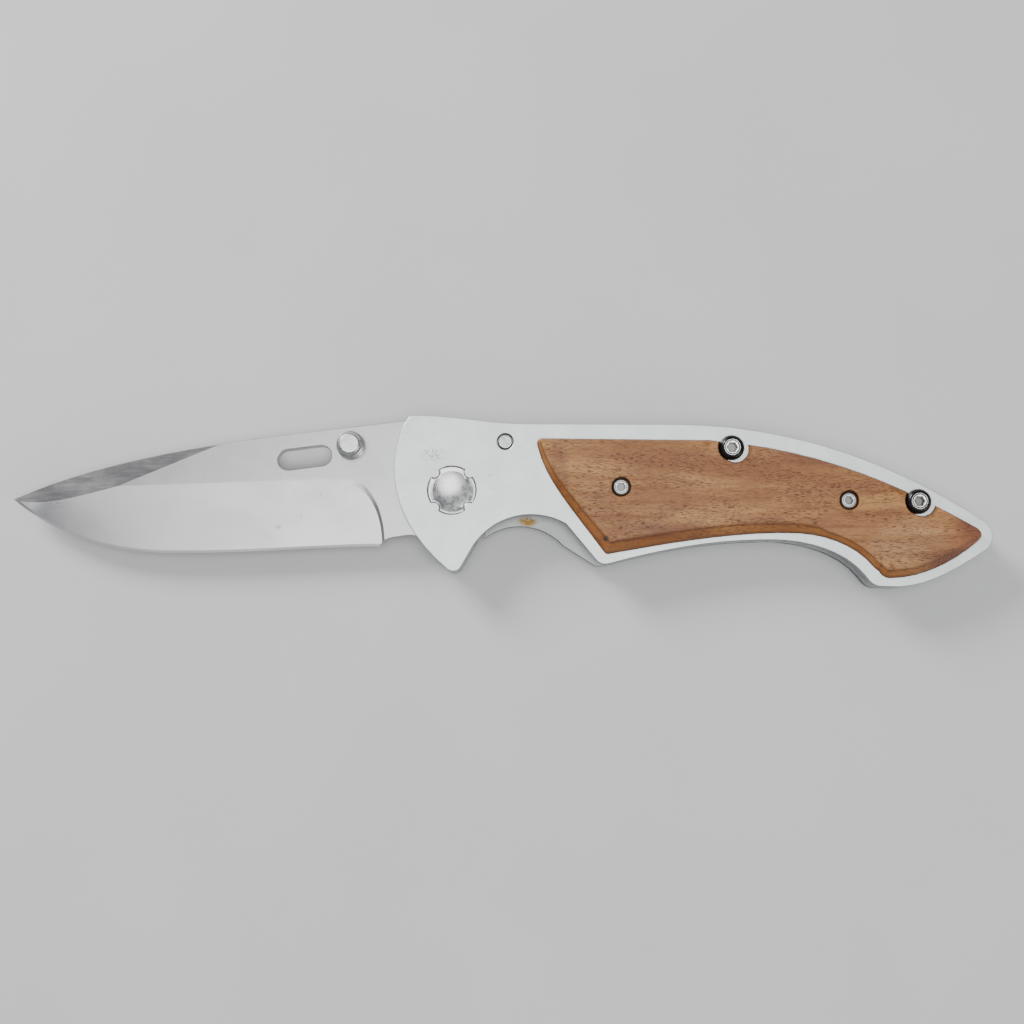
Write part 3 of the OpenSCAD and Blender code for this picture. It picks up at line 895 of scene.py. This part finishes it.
def grind_line():
    """The ground face's upper line from the plunge to the false edge."""
    top_of_plunge = PLUNGE_CENTRE + np.array([0, PLUNGE_REACH[1]])
    line = np.array([top_of_plunge - direction(GRIND_TURN) * d for d in np.arange(0, 47, 0.5)])
    line = line - past_line(line, GRIND_AT, GRIND_TURN)[:, None] * left_of(GRIND_TURN)
    end = junction()
    return np.vstack([line[(line[:, 0] > end[0] + 0.2) & (line[:, 0] < PLUNGE_CENTRE[0] - 0.1)], end])


def swedge_line(outline):
    """The false edge's lower line from the grind line up to the spine."""
    line = np.array([junction() + direction(SWEDGE_TURN) * d for d in np.arange(0.0, 26, 0.5)])
    return line[inside(line, outline) & (segment_distance(line, outline) > 0.2)]


def dent_place():
    """Where the detent ball meets the blade once it is folded, as a place on the open blade."""
    fold = next(j for j in frame["joints"] if j["name"] == "blade_pivot")["range_deg"][1]
    a = -math.radians(fold)
    x, y = BALL
    return np.array([x * math.cos(a) - y * math.sin(a), x * math.sin(a) + y * math.cos(a)])


def blade():
    """The blade with its ground faces, plunge, false edge, sharpened edge, softened arrises and holes."""
    cut = section("blade", BLADE_MID)
    outline = resampled(without_duplicates(anticlockwise(cut[0])), OUTLINE_STEP)
    holes = [without_duplicates(p) for p in cut[1:]]
    slots = [anticlockwise(p) for p in holes if abs(signed_area(p)) > SLOT_AREA]
    outline = np.roll(outline, -int(np.argmin(outline[:, 0])), axis=0)
    heel = int(np.argmin(distance_from(outline, EDGE_END)))
    edge = outline[:heel + 1]
    back = np.vstack([outline[heel:], outline[:1]])
    dent = dent_place()

    lines = [resampled(offset_inward(edge, SHARPENED, outline), 0.5, is_closed=False)]
    lines.append(offset_inward(back, ARRIS, outline))
    lines += plunge_lines(outline)
    lines += [grind_line(), swedge_line(outline), faces_meet(outline, edge)]
    lines += [closed(circle(STUD, SINK_R)), closed(circle(dent, DENT_R, count=32))]
    lines += [closed(circle(dent, DENT_R - DENT_WALL, count=32))]
    lines += [closed(slot + ARRIS * normals_of(slot)) for slot in slots]

    clear = np.vstack(lines)
    near_tip = outline[0, 0] + TIP_REACH
    coarse = grid_inside(outline, holes, step=1.1, clear=0.3)
    coarse = coarse[(distance_to(coarse, clear) > 0.3) & (coarse[:, 0] > near_tip)]
    fine = grid_inside(outline, holes, step=0.3, clear=0.07)
    fine = fine[(distance_to(fine, clear) > 0.1) & (fine[:, 0] < near_tip)]
    grid = np.vstack([coarse, fine])
    grid = grid[segment_distance(grid, edge, is_closed=False) > SHARPENED + 0.08]
    plan, tri, border = triangulated([outline] + holes, lines, grid)

    half = blade_half(plan, edge, back)
    for slot in slots:
        half -= np.clip(ARRIS - segment_distance(plan, slot), 0, None)
    off_stud = distance_from(plan, STUD)
    sunk = np.clip(SINK_R - off_stud, 0, None) * (off_stud < SINK_R + 0.01)
    dented = np.where(distance_from(plan, dent) < DENT_R - DENT_WALL / 2, DENT_DEPTH, 0.0)
    top = BLADE_MID + half
    bottom = np.minimum(BLADE_MID - half + sunk + dented, top - 0.02)

    count = len(plan)
    verts = np.vstack([np.c_[plan, top], np.c_[plan, bottom]])
    faces = [tuple(f) for f in tri]
    faces += [tuple(count + i for i in f[::-1]) for f in tri]
    faces += [(b, a, count + a, count + b) for a, b in border]
    piece = finished("blade_ground", verts, faces, sharp_deg=3.2)
    placed(piece, satin_blade(), "blade_body", "blade")


# ---------------------------------------------------------------- turned heads

# The pivot's head: how much of its reach the dish takes, the dish's depth, its soft lip, the outer edge's
# radius and the head's thickness
DISH_SHARE, DISH_DEPTH = 0.86, 0.8
LIP_WIDTH, LIP_DROP = 0.3, 0.06
HEAD_EDGE_R, HEAD_THICKNESS = 0.2, 1.5
# The edge of a screw's socket, and the soft line round its flat ring
SOCKET_EDGE_R = 0.06
RING_LINE, RING_LINE_DROP = 0.1, 0.05


def rounded_edge(gap, r):
    """How far a rounded edge has dropped at a distance in from the side."""
    return r - np.sqrt(np.clip(r * r - np.clip(r - gap, 0, None) ** 2, 0, None))


def on_shank(skin, head_loop, under, shank, low):
    """The underside of a round head, and the shank below it down to its foot."""
    flange = skin.drop(head_loop, under)
    shaft = skin.ring(shank, under)
    skin.cap([flange, shaft], under)
    skin.cap([skin.wall(shaft, skin.ring(shank, low))], low)


def pivot_barrel():
    """The pivot's head: a notched rim round a polished dish, on the barrel that the blade turns on."""
    low, high = heights_of("pivot_barrel")
    head = resampled(without_duplicates(anticlockwise(section("pivot_barrel", high - 0.3)[0])), 0.12)
    barrel = anticlockwise(section("pivot_barrel", BLADE_MID)[0])
    reach = np.linalg.norm(head, axis=1).max()
    dish = DISH_SHARE * reach
    in_dish = np.r_[np.linspace(0.25, dish - 0.5, 12), dish - 0.3, dish - 0.15, dish, dish + 0.12, dish + 0.3]
    on_rim = np.linspace(dish + 0.4, reach - 0.08, 5)
    points = np.vstack([[[0, 0]], circles((0, 0), in_dish), circles((0, 0), on_rim, count=144)])
    points = points[inside(points, head) & (segment_distance(points, head) > 0.24)]
    points = np.vstack([points, ring_inside(head, 0.06), ring_inside(head, 0.16)])
    plan, tri, border = triangulated([head], (), points)

    r = np.linalg.norm(plan, axis=1)
    sunk = DISH_DEPTH * np.clip(1 - (r / dish) ** 2, 0, None)
    lip = LIP_DROP * np.clip(1 - np.abs(r - dish) / LIP_WIDTH, 0, None) ** 2
    top = high - sunk - lip - rounded_edge(segment_distance(plan, head), HEAD_EDGE_R)
    skin = Skin()
    loop = skin.sheet(plan, tri, border, top)[0]
    on_shank(skin, loop, high - HEAD_THICKNESS, barrel, low)
    polished = turned_steel("polished_pivot", (0.72, 0.72, 0.715), 0.27, (0, 0), 0.42, 0.004)
    placed(skin.piece("pivot_head", sharp_deg=40), polished, "handle", "pivot_barrel")


def socket_screw(node, dome, flat_r, socket, socket_depth):
    """A screw's head: a dome that flattens into a ring round a hexagon socket, on the screw's shank."""
    low, high = heights_of(node)
    centre = centre_of(node)
    reach = (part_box(node)[1].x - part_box(node)[0].x) / MM / 2
    shank = anticlockwise(without_duplicates(section(node, low + 0.05)[0]))
    rim = circle(centre, reach, 72)
    hole = hexagon(centre, socket)
    radii = np.r_[np.linspace(flat_r, reach - 0.06, 12), flat_r - 0.08, flat_r - 0.2]
    points = circles(centre, radii)
    points = points[~inside(points, hole) & (segment_distance(points, hole) > 0.08)]
    plan, tri, border = triangulated([rim, hole], (), points)

    r = distance_from(plan, centre)
    fall = np.clip((r - flat_r) / (reach - flat_r), 0, 1)
    line = RING_LINE_DROP * np.clip(1 - np.abs(r - flat_r) / RING_LINE, 0, 1)
    top = high - dome * (1 - np.sqrt(np.clip(1 - fall ** 2, 0, None))) - line
    top -= rounded_edge(segment_distance(plan, hole), SOCKET_EDGE_R)
    skin = Skin()
    loops = skin.sheet(plan, tri, border, top)
    head, mouth = sorted(loops, key=lambda p: -abs(signed_area(skin.plan_of(p))))
    on_shank(skin, head, high - dome - 0.1, shank, low)
    skin.cap([skin.drop(mouth, high - socket_depth)], high - socket_depth, up=True)
    return skin.piece(node + "_head", sharp_deg=32)


# ---------------------------------------------------------------- CAD nodes that keep their shape

def dress(node, material, edge_width):
    """Gives a CAD node its material, rounds its edges with modifiers, and shades it smooth."""
    piece = NODES[node]
    piece.data.materials.clear()
    piece.data.materials.append(material)
    merge = piece.modifiers.new("merge", "WELD")
    merge.merge_threshold = 1e-6
    flat = piece.modifiers.new("flat faces", "DECIMATE")
    flat.decimate_type = "DISSOLVE"
    flat.angle_limit = math.radians(0.6)
    bevel = piece.modifiers.new("soft edges", "BEVEL")
    bevel.width = edge_width * MM
    bevel.segments = 3
    bevel.limit_method = "ANGLE"
    bevel.angle_limit = math.radians(35)
    bevel.harden_normals = False
    bevel.use_clamp_overlap = True
    piece.data.shade_smooth()
    weighted = piece.modifiers.new("even shading", "WEIGHTED_NORMAL")
    weighted.keep_sharp = True


def slabs():
    """The front slab with a few scuffs, and the back slab and the lock bar behind it, both in a darker tone
    that is painted shade.
    """
    # The second tone is painted shade for the back slab and the lock bar, which lie in the front slab's shade
    bright, painted_shade_tone = (0.87, 0.905, 0.9), (0.42, 0.435, 0.435)
    scuffs = (
        ((-3.9, 7.2), (3.2, 1.9), (0.2, 0.2, 0.2), 2.6, 0.47, 0.8),
        ((7.6, 3.1), (0.5, 0.4), (0.4, 0.4, 0.4), 5.0, 0.42, 0.6),
        ((41.0, 12.2), (2.6, 0.5), (0.5, 0.5, 0.5), 4.0, 0.5, 0.5),
    )
    smudge = ((20.0, 6.0), (6.0, 3.0), (0.4, 0.4, 0.4), 2.5, 0.54, 0.4)
    rust = ((15.2, -5.9), (2.6, 1.4), (0.30, 0.17, 0.035), 1.1, 0.33, 1.0)
    dress("front_slab", blasted_steel("blasted_front", bright, scuffs), 0.45)
    dress("back_slab", blasted_steel("blasted_back", painted_shade_tone, [smudge]), 0.38)
    dress("lock_bar", blasted_steel("blasted_lock", painted_shade_tone, [rust]), 0.32)


def pins():
    """The stop pin, the thumb stud and the detent ball, each turned about its own axis."""
    stop_at = centre_of("stop_pin")
    dress("stop_pin", turned_steel("pin_steel", (0.66, 0.67, 0.67), 0.38, stop_at, 0.5, 0.01), 0.15)
    dress("thumb_stud", turned_steel("stud_steel", (0.7, 0.7, 0.69), 0.28, STUD, 0.3, 0.004), 0.1)
    dress("detent_ball", turned_steel("ball_steel", (0.75, 0.75, 0.74), 0.15, BALL, 0.3, 0.002), 0.01)


def screws():
    """Black button heads over the spacers, grey screws in the wood, and flush screws on the far side."""
    button_top = heights_of("spacer_screw_mid_front")[1]
    wood_screw_top = heights_of("wood_screw_fore")[1]
    black = screw_steel("black_oxide", (0.028, 0.028, 0.03), (0.9, 0.885, 0.85), 0.24, button_top - 0.3)
    grey = screw_steel("grey_screw", (0.36, 0.36, 0.36), (0.92, 0.91, 0.89), 0.28, wood_screw_top - 0.25)
    flush = screw_steel("flush_screw", (0.05, 0.05, 0.053), (0.45, 0.44, 0.42), 0.3, BACK_Z - 1.0)
    for node in ("pivot_screw", "thumb_stud_screw", "spacer_screw_mid_back", "spacer_screw_tail_back"):
        dress(node, flush, 0.06)
    for node in ("spacer_screw_mid_front", "spacer_screw_tail_front"):
        head = socket_screw(node, dome=1.3, flat_r=1.42, socket=1.7, socket_depth=1.2)
        placed(head, black, "handle", node)
    for node in ("wood_screw_fore", "wood_screw_aft"):
        head = socket_screw(node, dome=0.7, flat_r=1.15, socket=1.5, socket_depth=0.9)
        placed(head, grey, "handle", node)


def spacers_and_washers():
    plain = blasted_steel("spacer_steel", (0.6, 0.6, 0.6))
    for node in ("spacer_mid", "spacer_tail"):
        dress(node, plain, 0.1)
    washers = bronze()
    for node in ("front_washer", "back_washer"):
        dress(node, washers, 0.04)


camera()
studio()
floor()
wood_inlay()
blade()
slabs()
pivot_barrel()
pins()
screws()
spacers_and_washers()
